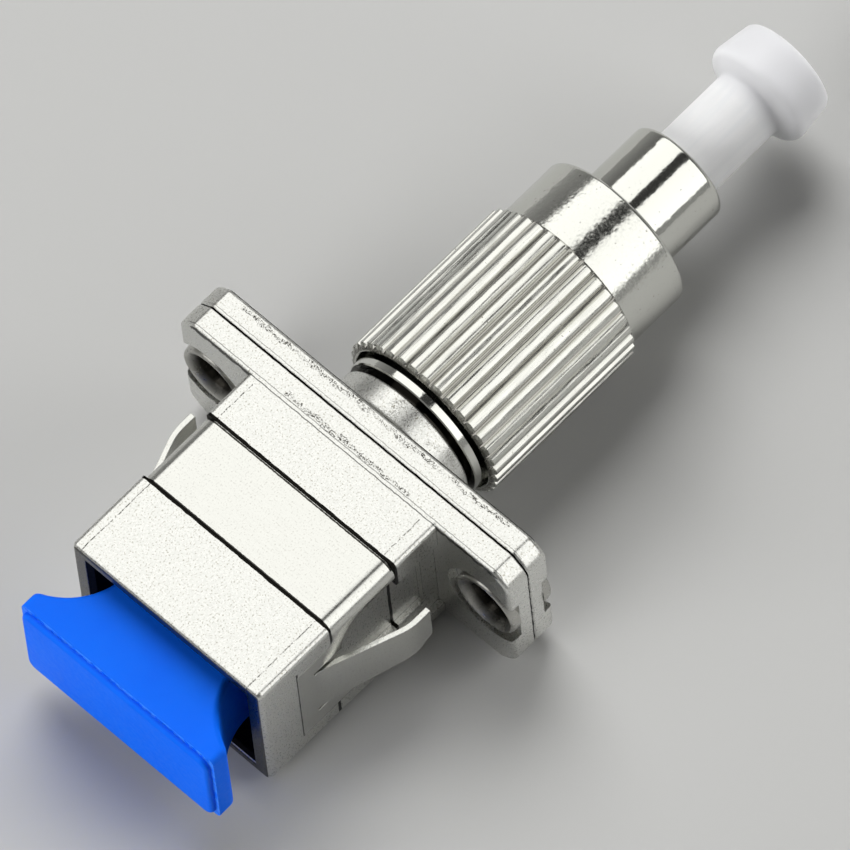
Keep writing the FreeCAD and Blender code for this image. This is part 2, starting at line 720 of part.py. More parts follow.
def make_nut_snap_ring():
    body = new_body("nut_snap_ring")
    inner = barrel + " + running_gap"
    outer = ring_groove + " - ring_play"
    turn_profile(body, "Ring", rectangle((ring_rear, inner), (ring_front, outer)))
    gap = rectangle((ring_rear, "-ring_gap / 2"), (ring_front, "ring_gap / 2"))
    pocket(body, "RingGap", "XY", gap, "0", f"2 * {ring_groove}")


def make_coupling_nut():
    body = new_body("coupling_nut")
    turn_profile(body, "Nut", [
        (nut_rear, counterbore + " + nut_rim_bevel"), (nut_rear, nut_outer + " - knurl_bevel"),
        (nut_rear + " + knurl_bevel_run", nut_outer), (knurl_front + " - knurl_bevel_run", nut_outer),
        (knurl_front, nut_outer + " - knurl_bevel"), (knurl_front, nut_nose),
        (nut_front + " - nose_edge", nut_nose),
        (nut_front, nut_nose + " - nose_edge", "nose_edge", -left_turn),
        (nut_front, thread_minor + " + thread_lead_in"), (nut_front + " - thread_lead_in", thread_minor),
        (ring_groove_front, thread_minor), (ring_groove_front, ring_groove), (ring_groove_rear, ring_groove),
        (ring_groove_rear, nut_lip), (nut_lip_rear, nut_lip), (nut_lip_rear, counterbore),
        (nut_rear + " + nut_rim_bevel", counterbore),
    ])
    floor = nut_outer + " - knurl_depth"
    groove_top = nut_outer + " + knurl_depth"
    groove = [
        ("-knurl_floor / 2", floor), ("knurl_floor / 2", floor), ("knurl_groove", groove_top),
        ("-knurl_groove", groove_top),
    ]
    cut = pocket(body, "KnurlGroove", "YZ", groove, nut_rear, knurl_front)
    knurl = body.newObject("PartDesign::PolarPattern", "Knurl")
    knurl.Originals = [cut]
    knurl.Axis = (origin_feature(body, "X_Axis"), [""])
    knurl.Angle = 360
    knurl.setExpression("Occurrences", bound("knurl_ridges"))
    body.Tip = knurl
    doc.recompute()


def make_sc_dust_plug():
    """Moulded plug: a wide grip outside, hollow flanks, and a shank that lies between the latch hooks."""
    body = new_body("sc_dust_plug")
    half_thick = "(cavity_height / 2 - plug_side_gap)"
    head_back = f"({plug_face} + plug_head_thick)"
    flank_end = f"({head_back} + plug_flank_run)"
    flank_rise = f"({plug_head} - {plug_shank})"
    flank = f"(plug_flank_run ^ 2 + {flank_rise} ^ 2) / (2 * {flank_rise})"
    pad(body, "Plug", "XY", [
        (plug_face, f"-{plug_head}"), (head_back, f"-{plug_head}"),
        (flank_end, f"-{plug_shank}", flank, -left_turn), (plug_inner_end, f"-{plug_shank}"),
        (plug_inner_end, plug_shank), (flank_end, plug_shank),
        (head_back, plug_head, flank, -left_turn), (plug_face, plug_head),
    ], f"-{half_thick}", half_thick)
    soften(body, "Fillet", "GripCorners", "plug_head_edge",
           lambda edge: runs_along(edge, "Z") and edge.BoundBox.XMax < measure(head_back) + near)
    soften(body, "Fillet", "GripEdges", "plug_edge",
           lambda edge: any(lies_at(edge, "Z", side * measure(half_thick)) for side in (1, -1)))
    bore_end = holder_front + " - plug_bore_end_gap"
    bore(body, "HolderBore", holder_outer + " + plug_bore_gap", bore_end, plug_inner_end)


def make_ferrule_cap():
    body = new_body("ferrule_cap")
    cap_bore = ferrule + " + cap_bore_gap"
    stem_end = barrel_front + " - cap_insertion"
    bore_end = f"({ferrule_tip} + cap_end_gap)"
    head_near = f"({bore_end} + cap_head_floor)"
    head_far = f"({head_near} + cap_head_length)"
    near_radius = f"({cap_stem} + cap_head_rise)"
    far_radius = f"({near_radius} - cap_head_taper)"
    turn_profile(body, "Cap", [
        (stem_end, cap_bore), (stem_end, cap_stem), (head_near, cap_stem),
        (head_near, near_radius + " - cap_head_shoulder"),
        (head_near + " + cap_head_shoulder", near_radius, "cap_head_shoulder", -left_turn),
        (head_far + " - cap_head_edge", far_radius),
        (head_far, far_radius + " - cap_head_edge", "cap_head_edge", -left_turn), (head_far, "0"),
        (bore_end, "0"), (bore_end, cap_bore),
    ])


def write_parts():
    """Checks every object and then writes each piece to its own file."""
    doc.recompute()
    failed = [item.Label for item in doc.Objects if {"Invalid", "Error"} & set(item.State)]
    if failed:
        raise RuntimeError("failed objects: " + ", ".join(failed))
    bodies = [item for item in doc.Objects if item.TypeId == "PartDesign::Body"]
    for body in bodies:
        if body.Shape.isNull() or not body.Shape.isValid() or len(body.Shape.Solids) != 1:
            raise RuntimeError("bad shape: " + body.Label)
    os.makedirs("parts", exist_ok=True)
    for body in bodies:
        body.Shape.exportStep(f"parts/{body.Label}.step")
        print(f"{body.Label}: {body.Shape.Volume:.2f} cubic mm")


make_sc_housing()
make_fc_housing()
make_rivet("flange_rivet_left", "1")
make_rivet("flange_rivet_right", "-1")
make_retention_clip()
make_latch_insert()
make_sleeve_holder_back()
make_split_sleeve()
make_ferrule()
make_fibre()
make_ferrule_collar()
make_fc_barrel()
make_nut_snap_ring()
make_coupling_nut()
make_sc_dust_plug()
make_ferrule_cap()
write_parts()
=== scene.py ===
import bmesh
import bpy
from math import atan2, cos, hypot, pi, radians, sin, tan
from mathutils import Matrix, Vector


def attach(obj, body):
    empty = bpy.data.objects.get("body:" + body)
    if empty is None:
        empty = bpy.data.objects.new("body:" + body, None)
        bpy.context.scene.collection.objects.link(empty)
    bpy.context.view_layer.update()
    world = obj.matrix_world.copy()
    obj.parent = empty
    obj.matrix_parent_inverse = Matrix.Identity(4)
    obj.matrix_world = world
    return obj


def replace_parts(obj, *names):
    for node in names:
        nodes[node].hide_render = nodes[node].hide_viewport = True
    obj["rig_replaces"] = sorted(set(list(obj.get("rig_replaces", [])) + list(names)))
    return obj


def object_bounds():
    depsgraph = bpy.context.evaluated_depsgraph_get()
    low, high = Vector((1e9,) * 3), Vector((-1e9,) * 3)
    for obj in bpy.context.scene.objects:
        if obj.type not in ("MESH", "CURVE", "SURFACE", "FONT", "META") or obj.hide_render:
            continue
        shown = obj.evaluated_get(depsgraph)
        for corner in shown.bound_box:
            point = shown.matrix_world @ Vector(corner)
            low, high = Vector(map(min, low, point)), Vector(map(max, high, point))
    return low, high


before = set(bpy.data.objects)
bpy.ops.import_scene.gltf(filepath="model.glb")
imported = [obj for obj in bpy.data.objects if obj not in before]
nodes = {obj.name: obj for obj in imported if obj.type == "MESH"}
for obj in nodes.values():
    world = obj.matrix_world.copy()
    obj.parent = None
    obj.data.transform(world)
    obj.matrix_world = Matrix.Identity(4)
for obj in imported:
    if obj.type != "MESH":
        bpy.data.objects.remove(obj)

mm = 0.001
weld = 0.002 * mm  # points nearer than this are one point
hair = 0.001 * mm  # how near to a point a cut may pass
noiseLow, noiseMean, noiseHigh = 0.3, 0.5, 0.7  # where nearly all of a noise lies
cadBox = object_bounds()


def hexColour(text):
    parts = [int(text[i:i + 2], 16) / 255 for i in (1, 3, 5)]
    return tuple(c / 12.92 if c <= 0.04045 else ((c + 0.055) / 1.055) ** 2.4 for c in parts) + (1.0,)


# adds a node and gives back its first output in use
def addNode(tree, kind, links=None, **settings):
    made = tree.nodes.new("ShaderNode" + kind)
    for name, value in settings.items():
        setattr(made, name, value)
    for socket, source in (links or {}).items():
        if isinstance(source, bpy.types.NodeSocket):
            tree.links.new(source, made.inputs[socket])
        else:
            made.inputs[socket].default_value = source
    return next((out for out in made.outputs if out.enabled), None)


# a material with its shader's fixed values
def startMaterial(name, sockets):
    material = bpy.data.materials.new(name)
    material.use_nodes = True
    shader = material.node_tree.nodes["Principled BSDF"]
    for socket, value in sockets.items():
        shader.inputs[socket].default_value = value
    return material


# a material's nodes, and the place on the part in millimetres
def startPattern(material):
    tree = material.node_tree
    coords = addNode(tree, "TexCoord").node.outputs["Object"]
    return tree, addNode(tree, "VectorMath", {0: coords, "Scale": 1 / mm}, operation="SCALE")


# joins what the nodes have worked out to the material's shader
def connect(tree, found):
    for socket, source in found.items():
        tree.links.new(source, tree.nodes["Principled BSDF"].inputs[socket])


def wear(material, *names):
    for name in names:
        nodes[name].data.materials.clear()
        nodes[name].data.materials.append(material)


# camera at the photograph's angle, a long lens from one metre away
photoCamera = {"azimuth": -40.60, "elevation": 63.06, "roll": 6.70, "lookAt": (4.927, -0.838, 1.306),
               "distance": 1000.0, "lens": 842.5, "sensor": 36.0, "clip": (0.05, 20.0)}


def addCamera(view):
    a, e = radians(view["azimuth"]), radians(view["elevation"])
    back = Vector((sin(a) * cos(e), -cos(a) * cos(e), sin(e)))
    place = (Vector(view["lookAt"]) + back * view["distance"]) * mm
    roll = Matrix.Rotation(-radians(view["roll"]), 3, "Z")
    turn = (-back).to_track_quat("-Z", "Y").to_matrix() @ roll
    bpy.ops.object.camera_add(location=place, rotation=turn.to_euler())
    camera = bpy.context.object
    camera.data.lens = view["lens"]
    camera.data.sensor_width = view["sensor"]
    camera.data.clip_start, camera.data.clip_end = view["clip"]
    bpy.context.scene.camera = camera


bpy.ops.object.select_all(action="DESELECT")
addCamera(photoCamera)
print("camera placed")


# two long soft boxes overhead that the metal mirrors, with a dark strip between them
# edges are degrees from straight up, ends are metres along the part's axis
softBoxes = {"distance": 0.60, "colour": "#FFFFFD",
             "left": {"edges": (-52.0, -2.0), "ends": (-0.65, 0.75), "radiance": 1.48},
             "right": {"edges": (18.0, 77.0), "ends": (0.0, 0.45), "radiance": 1.48}}

# three broad lamps that light the floor and the plastics
# level is how bright a white card that faces the lamp would be
broadLamps = {"distance": 0.9, "size": 0.7,
              "key": {"from": (0.40, 0.50, 0.77), "level": 0.88},
              "fill": {"from": (-0.86, 0.22, 0.36), "level": 0.85},
              "right": {"from": (0.70, -0.64, 0.31), "level": 0.55}}


def addSoftBox(name):
    box, distance = softBoxes[name], softBoxes["distance"]
    (low, high), (rear, front) = box["edges"], box["ends"]
    turn = radians((low + high) / 2)
    place = Vector(((rear + front) / 2, -sin(turn) * distance, cos(turn) * distance))
    bpy.ops.object.light_add(type="AREA", location=place, rotation=(turn, 0, 0))
    lamp = bpy.context.object
    lamp.name = name + "SoftBox"
    lamp.data.shape = "RECTANGLE"
    lamp.data.size = front - rear
    lamp.data.size_y = 2 * distance * tan(radians((high - low) / 2))
    lamp.data.energy = box["radiance"] * pi * lamp.data.size * lamp.data.size_y
    lamp.data.color = hexColour(softBoxes["colour"])[:3]
    lamp.visible_camera = False
    lamp.visible_diffuse = False


def addBroadLamp(name):
    side = Vector(broadLamps[name]["from"]).normalized()
    turn = side.to_track_quat("Z", "Y").to_euler()
    bpy.ops.object.light_add(type="AREA", location=side * broadLamps["distance"], rotation=turn)
    lamp = bpy.context.object
    lamp.name = name + "Lamp"
    lamp.data.shape = "DISK"
    lamp.data.size = broadLamps["size"]
    lamp.data.energy = broadLamps[name]["level"] * pi ** 2 * broadLamps["distance"] ** 2
    lamp.visible_camera = False
    lamp.visible_glossy = False


# a dark ceiling and paler walls, which only the metal mirrors, and a plain floor
# wallTop is the sine of the angle at which the walls have faded into the ceiling
studio = {"ceiling": 0.04, "walls": 0.34, "wallTop": 0.85, "tint": (1.0, 1.0, 0.98, 1.0),
          "floor": "#C4C4C2", "size": 8.0}


def addStudio():
    world = bpy.data.worlds.new("studio")
    bpy.context.scene.world = world
    world.use_nodes = True
    tree = world.node_tree
    back = tree.nodes["Background"]
    coords = addNode(tree, "TexCoord").node.outputs["Generated"]
    height = addNode(tree, "SeparateXYZ", {"Vector": coords}).node.outputs["Z"]
    level = addNode(tree, "MapRange", {"Value": height, "From Min": 0.0, "From Max": studio["wallTop"],
                                       "To Min": studio["walls"], "To Max": studio["ceiling"]})
    tree.links.new(level, back.inputs["Strength"])
    back.inputs["Color"].default_value = studio["tint"]
    world.cycles_visibility.diffuse = False

    bpy.ops.mesh.primitive_plane_add(size=studio["size"], location=(0, 0, cadBox[0].z))
    floor = bpy.context.object
    floor.name = "studioFloor"
    floor.data.materials.append(startMaterial("paleFloor", {
        "Base Color": hexColour(studio["floor"]), "Roughness": 1.0, "Specular IOR Level": 0.0}))


for boxName in ("left", "right"):
    addSoftBox(boxName)
for lampName in ("key", "fill", "right"):
    addBroadLamp(lampName)
addStudio()
bpy.context.scene.view_settings.view_transform = "Standard"
print("studio lit")


# nickel over sand-blasted zinc casting: bright broad gloss, fine grit with beige dots that are partly
# painted reflection, rows of casting pits along the flange, painted shade in the seams, creases and along
# edges, and a socket painted near-black for its shade
# real blast marks are a few hundredths of a millimetre: grit, dots and pits are drawn coarser, to show
# pit rows are place along the axis and reach sideways; creases and seams are place, half width and,
# for the creases, how dark; sway is how far a mark wanders; levels are where a noise starts to count
# and where it counts in full; bump is strength and depth
castNickel = {"colour": "#D8D8D4", "dots": "#A9A69C", "pits": "#5A5751", "shadeLine": "#171614",
              "inside": "#0B0B0C", "mouth": "#62625E", "roughness": (0.24, 0.38), "dulled": 0.3,
              "grit": 0.11, "dotSize": 0.10, "wander": 0.5, "clump": 1 / 0.7, "pitSize": 0.065,
              "dotLevels": (0.58, 0.72), "speckFacingLevels": (0.2, 0.6), "sideSpecks": 0.25,
              "pitRows": ((0.43, 4.3), (2.47, 9.2)), "pitHalf": 0.11, "pitSway": 0.6,
              "pitLevels": (0.50, 0.60), "clumpLevels": (0.28, 0.50),
              "scribedLines": (5.86, -5.6), "scribedHalf": 0.025, "scribedSway": 0.12,
              "scribedLevels": (0.40, 0.60), "scribedEnd": -0.2,
              "neckStart": 2.95, "fleckLevels": (0.50, 0.62), "fleckDark": 0.6,
              "creases": ((2.83, 0.035, 0.9), (2.69, 0.018, 0.4), (1.68, 0.022, 0.5),
                          (0.25, 0.025, 0.6), (0.03, 0.03, 0.8)),
              "seams": ((-7.68, 0.10), (-2.96, 0.10), (1.45, 0.06)), "seamSway": 0.10,
              "edge": 0.06, "edgeLevels": (0.99, 0.86), "edgeShadeDepth": 0.75,
              "top": 4.4, "side": 6.2, "legFront": -10.22, "legHalf": 0.06, "legHeight": 3.45,
              "mouthFace": -12.80, "socketSide": 5.58, "socketSill": -3.95, "socketTop": 4.03,
              "markDepth": -1.5, "bump": (0.3, 0.02)}


def makeCastNickel():
    own = castNickel
    material = startMaterial("blastedNickelCasting", {"Specular IOR Level": 0.1})
    tree, place = startPattern(material)
    x, y, z = addNode(tree, "SeparateXYZ", {0: place}).node.outputs
    grain, speckle, wander, clumps, grime = (
        addNode(tree, "TexNoise", {"Vector": place, "Scale": 1 / own[size], "Detail": detail})
        for size, detail in (("grit", 2.0), ("dotSize", 1.0), ("wander", 3.0), ("clump", 2.0),
                             ("pitSize", 1.0)))
    onTop = addNode(tree, "Math", {0: z, 1: own["top"]}, operation="GREATER_THAN")
    sideways = addNode(tree, "Math", {0: y}, operation="ABSOLUTE")
    upDown = addNode(tree, "Math", {0: z}, operation="ABSOLUTE")

    # painted reflection: the dots partly stand for tiny facets that mirror dark, and are drawn mostly on the
    # top and bottom faces, less on the sides
    flat = addNode(tree, "NewGeometry").node.outputs["Normal"]
    facing = addNode(tree, "SeparateXYZ", {0: flat}).node.outputs["Z"]
    facing = addNode(tree, "Math", {0: facing}, operation="ABSOLUTE")
    speckFacing = addNode(tree, "MapRange", {"Value": facing, "From Min": own["speckFacingLevels"][0],
                                         "From Max": own["speckFacingLevels"][1], "To Min": own["sideSpecks"]})
    dots = addNode(tree, "MapRange", {"Value": speckle, "From Min": own["dotLevels"][0],
                                      "From Max": own["dotLevels"][1]})
    dots = addNode(tree, "Math", {0: dots, 1: speckFacing}, operation="MULTIPLY")

    # rows of pits where the metal met in the mould
    wavyX = addNode(tree, "Math", {0: wander, 1: own["pitSway"], 2: x}, operation="MULTIPLY_ADD")
    shift = own["pitSway"] * noiseMean
    pits = 0.0
    for row, reach in own["pitRows"]:
        line = addNode(tree, "Math", {0: wavyX, 1: row + shift, 2: own["pitHalf"]}, operation="COMPARE")
        near = addNode(tree, "Math", {0: sideways, 1: reach}, operation="LESS_THAN")
        line = addNode(tree, "Math", {0: line, 1: near}, operation="MULTIPLY")
        pits = addNode(tree, "Math", {0: pits, 1: line}, operation="MAXIMUM")
    here = addNode(tree, "MapRange", {"Value": clumps, "From Min": own["clumpLevels"][0],
                                      "From Max": own["clumpLevels"][1]})
    holes = addNode(tree, "MapRange", {"Value": grime, "From Min": own["pitLevels"][0],
                                       "From Max": own["pitLevels"][1]})
    for mask in (here, holes, onTop):
        pits = addNode(tree, "Math", {0: pits, 1: mask}, operation="MULTIPLY")

    # faint broken lines along the shell's top edges
    wavyY = addNode(tree, "Math", {0: wander, 1: own["scribedSway"], 2: y}, operation="MULTIPLY_ADD")
    shift = own["scribedSway"] * noiseMean
    scribed = 0.0
    for edge in own["scribedLines"]:
        line = addNode(tree, "Math", {0: wavyY, 1: edge + shift, 2: own["scribedHalf"]}, operation="COMPARE")
        scribed = addNode(tree, "Math", {0: scribed, 1: line}, operation="MAXIMUM")
    onShell = addNode(tree, "Math", {0: x, 1: own["scribedEnd"]}, operation="LESS_THAN")
    broken = addNode(tree, "MapRange", {"Value": grain, "From Min": own["scribedLevels"][0],
                                        "From Max": own["scribedLevels"][1]})
    for mask in (onShell, onTop, broken):
        scribed = addNode(tree, "Math", {0: scribed, 1: mask}, operation="MULTIPLY")

    # specks in clusters on the blasted neck
    onNeck = addNode(tree, "Math", {0: x, 1: own["neckStart"]}, operation="GREATER_THAN")
    flecks = addNode(tree, "MapRange", {"Value": clumps, "From Min": own["fleckLevels"][0],
                                        "From Max": own["fleckLevels"][1]})
    for mask in (holes, onNeck, own["fleckDark"]):
        flecks = addNode(tree, "Math", {0: flecks, 1: mask}, operation="MULTIPLY")
    marks = addNode(tree, "Math", {0: pits, 1: scribed}, operation="MAXIMUM")
    marks = addNode(tree, "Math", {0: marks, 1: flecks}, operation="MAXIMUM")

    # painted shade along creases at the top edges of the flange
    ragged = addNode(tree, "Math", {0: wander, 1: own["seamSway"], 2: x}, operation="MULTIPLY_ADD")
    shift = own["seamSway"] * noiseMean
    creases = 0.0
    for crease, half, dark in own["creases"]:
        line = addNode(tree, "Math", {0: ragged, 1: crease + shift, 2: half}, operation="COMPARE")
        line = addNode(tree, "Math", {0: line, 1: dark}, operation="MULTIPLY")
        creases = addNode(tree, "Math", {0: creases, 1: line}, operation="MAXIMUM")
    creases = addNode(tree, "Math", {0: creases, 1: onTop}, operation="MULTIPLY")

    # painted shade along the edges, found by how far the softened surface leans away from the flat one
    rounded = addNode(tree, "Bevel", {"Radius": own["edge"] * mm}, samples=4)
    lean = addNode(tree, "VectorMath", {0: rounded, 1: flat}, operation="DOT_PRODUCT").node.outputs["Value"]
    paintedEdgeShade = addNode(tree, "MapRange", {"Value": lean, "From Min": own["edgeLevels"][0],
                                        "From Max": own["edgeLevels"][1], "To Max": own["edgeShadeDepth"]})

    # painted shade in the seams beside the clip, between the flange halves and in front of the clip's legs
    legEdge = addNode(tree, "Math", {0: x, 1: own["legFront"], 2: own["legHalf"]}, operation="COMPARE")
    onSide = addNode(tree, "Math", {0: sideways, 1: own["side"]}, operation="GREATER_THAN")
    besideLeg = addNode(tree, "Math", {0: upDown, 1: own["legHeight"]}, operation="LESS_THAN")
    seams = legEdge
    for mask in (onSide, besideLeg):
        seams = addNode(tree, "Math", {0: seams, 1: mask}, operation="MULTIPLY")
    for shadeLine, half in own["seams"]:
        line = addNode(tree, "Math", {0: ragged, 1: shadeLine + shift, 2: half}, operation="COMPARE")
        seams = addNode(tree, "Math", {0: seams, 1: line}, operation="MAXIMUM")

    # painted shade: the face round the mouth is drawn darker, for the dark it mirrors, and the socket is
    # painted near-black down to its sill
    mouthShade = addNode(tree, "Math", {0: x, 1: own["mouthFace"]}, operation="LESS_THAN")
    socketShade = addNode(tree, "Math", {0: sideways, 1: own["socketSide"]}, operation="LESS_THAN")
    aboveSill = addNode(tree, "Math", {0: z, 1: own["socketSill"]}, operation="GREATER_THAN")
    underTop = addNode(tree, "Math", {0: z, 1: own["socketTop"]}, operation="LESS_THAN")
    inFront = addNode(tree, "Math", {0: x, 1: 0.0}, operation="LESS_THAN")
    for mask in (aboveSill, underTop, inFront):
        socketShade = addNode(tree, "Math", {0: socketShade, 1: mask}, operation="MULTIPLY")

    colour = hexColour(own["colour"])
    for mask, over in ((dots, "dots"), (marks, "pits"), (creases, "shadeLine"), (paintedEdgeShade, "shadeLine"),
                       (seams, "shadeLine"), (mouthShade, "mouth"), (socketShade, "inside")):
        colour = addNode(tree, "Mix", {"Factor": mask, 6: colour, 7: hexColour(own[over])},
                         data_type="RGBA")
    # the socket's painted shade is not metallic
    metalness = addNode(tree, "Math", {0: 1.0, 1: socketShade}, operation="SUBTRACT")
    gloss = addNode(tree, "MapRange", {"Value": grain, "From Min": noiseLow, "From Max": noiseHigh,
                                       "To Min": own["roughness"][0], "To Max": own["roughness"][1]})
    dull = addNode(tree, "Math", {0: marks, 1: socketShade}, operation="MAXIMUM")
    gloss = addNode(tree, "Math", {0: dull, 1: own["dulled"], 2: gloss}, operation="MULTIPLY_ADD")
    relief = addNode(tree, "Math", {0: marks, 1: own["markDepth"], 2: grain}, operation="MULTIPLY_ADD")
    bump = addNode(tree, "Bump", {"Height": relief, "Strength": own["bump"][0],
                                  "Distance": own["bump"][1] * mm, "Normal": rounded})
    connect(tree, {"Base Color": colour, "Metallic": metalness, "Roughness": gloss, "Normal": bump})
    return material


# bright nickel over turned brass: near mirror, slightly wavy like orange peel, with a few pits
# and painted shade in the narrow groove by the neck
turnedNickel = {"colour": "#D4D4CE", "pits": "#7D7A73", "paintedGrooveShade": "#2A2824", "roughness": (0.07, 0.14),
                "peel": 0.55, "grain": 0.13, "pitLevels": (0.74, 0.80), "groove": (4.40, 4.80),
                "bump": (1.0, 0.009)}


def makeTurnedNickel():
    own = turnedNickel
    material = startMaterial("turnedBrightNickel", {"Metallic": 1.0})
    tree, place = startPattern(material)
    peel = addNode(tree, "TexNoise", {"Vector": place, "Scale": 1 / own["peel"], "Detail": 2.0,
                                      "Roughness": 0.6})
    grain = addNode(tree, "TexNoise", {"Vector": place, "Scale": 1 / own["grain"], "Detail": 1.0})
    pits = addNode(tree, "MapRange", {"Value": grain, "From Min": own["pitLevels"][0],
                                      "From Max": own["pitLevels"][1]})
    x = addNode(tree, "SeparateXYZ", {0: place})
    # painted shade in the narrow groove by the neck
    start, end = own["groove"]
    groove = addNode(tree, "Math", {0: x, 1: (start + end) / 2, 2: (end - start) / 2},
                     operation="COMPARE")
    colour = hexColour(own["colour"])
    for mask, over in ((pits, "pits"), (groove, "paintedGrooveShade")):
        colour = addNode(tree, "Mix", {"Factor": mask, 6: colour, 7: hexColour(own[over])},
                         data_type="RGBA")
    gloss = addNode(tree, "MapRange", {"Value": grain, "From Min": noiseLow, "From Max": noiseHigh,
                                       "To Min": own["roughness"][0], "To Max": own["roughness"][1]})
    bump = addNode(tree, "Bump", {"Height": peel, "Strength": own["bump"][0],
                                  "Distance": own["bump"][1] * mm})
    connect(tree, {"Base Color": colour, "Roughness": gloss, "Normal": bump})
    return material


# the same plating on the nut: satin with drawn streaks on the knurl, brighter and grainy on the nose
# tool marks are finer than a pixel, so the streaks are drawn coarser, to show
nutNickel = {"colour": "#D5D5CF", "groove": "#8E8C86", "pits": "#8A877F", "knurlEnd": 15.97,
             "knurlInside": 4.66, "grooveFloor": 4.80, "grooveShade": 0.12, "streak": 0.14,
             "streakLength": 12, "grain": 0.15, "peel": 0.6, "pitLevels": (0.72, 0.80),
             "noseRoughness": (0.10, 0.22), "knurlRoughness": (0.18, 0.32), "noseGrain": 0.25,
             "bump": (1.0, 0.010)}


def makeNutNickel():
    own = nutNickel
    material = startMaterial("knurledSatinNickel", {"Metallic": 1.0})
    tree, place = startPattern(material)
    x, y, z = addNode(tree, "SeparateXYZ", {0: place}).node.outputs
    square = addNode(tree, "Math", {0: y, 1: y}, operation="MULTIPLY")
    square = addNode(tree, "Math", {0: z, 1: z, 2: square}, operation="MULTIPLY_ADD")
    radius = addNode(tree, "Math", {0: square}, operation="SQRT")
    outside = addNode(tree, "Math", {0: radius, 1: own["knurlInside"]}, operation="GREATER_THAN")
    behind = addNode(tree, "Math", {0: x, 1: own["knurlEnd"]}, operation="LESS_THAN")
    knurled = addNode(tree, "Math", {0: outside, 1: behind}, operation="MULTIPLY")

    # streaks run along the nut
    drawn = addNode(tree, "VectorMath", {0: place, 1: (1 / own["streakLength"], 1.0, 1.0)},
                    operation="MULTIPLY")
    streaks = addNode(tree, "TexNoise", {"Vector": drawn, "Scale": 1 / own["streak"], "Detail": 2.0})
    grain = addNode(tree, "TexNoise", {"Vector": place, "Scale": 1 / own["grain"], "Detail": 1.0})
    peel = addNode(tree, "TexNoise", {"Vector": place, "Scale": 1 / own["peel"], "Detail": 2.0,
                                      "Roughness": 0.65})

    # painted shade: the knurl's grooves are drawn darker towards their floor
    low = addNode(tree, "MapRange", {"Value": radius, "From Min": own["grooveFloor"] + own["grooveShade"],
                                     "From Max": own["grooveFloor"]})
    low = addNode(tree, "Math", {0: low, 1: knurled}, operation="MULTIPLY")
    pits = addNode(tree, "MapRange", {"Value": grain, "From Min": own["pitLevels"][0],
                                      "From Max": own["pitLevels"][1]})
    colour = hexColour(own["colour"])
    for mask, over in ((low, "groove"), (pits, "pits")):
        colour = addNode(tree, "Mix", {"Factor": mask, 6: colour, 7: hexColour(own[over])},
                         data_type="RGBA")

    noseGloss, knurlGloss = (
        addNode(tree, "MapRange", {"Value": noise, "From Min": noiseLow, "From Max": noiseHigh,
                                   "To Min": own[span][0], "To Max": own[span][1]})
        for noise, span in ((grain, "noseRoughness"), (streaks, "knurlRoughness")))
    gloss = addNode(tree, "Mix", {"Factor": knurled, 2: noseGloss, 3: knurlGloss}, data_type="FLOAT")
    peel = addNode(tree, "Math", {0: grain, 1: own["noseGrain"], 2: peel}, operation="MULTIPLY_ADD")
    relief = addNode(tree, "Mix", {"Factor": knurled, 2: peel, 3: streaks}, data_type="FLOAT")
    bump = addNode(tree, "Bump", {"Height": relief, "Strength": own["bump"][0],
                                  "Distance": own["bump"][1] * mm})
    connect(tree, {"Base Color": colour, "Roughness": gloss, "Normal": bump})
    return material


# half-hard stainless strip: smooth rolled faces with faint streaks, rougher where it was sheared
# rolling marks are finer than a pixel, so streaks and grit are drawn coarser, to show
springSteel = {"colour": "#D1D1CC", "speck": "#BFBEB8", "edgeShade": "#3A3936",
               "roughness": (0.18, 0.27), "grit": 0.10, "speckLevels": (0.58, 0.74), "streak": 0.12,
               "streakLength": 10, "sheared": 0.16, "bandEdges": (-7.575, -3.13), "bandHalf": 0.045,
               "bandSway": 0.06, "top": 4.3, "tongueTop": 1.55, "tongueOut": 6.55, "tear": 3.0,
               "edge": 0.06, "bump": (0.4, 0.008)}


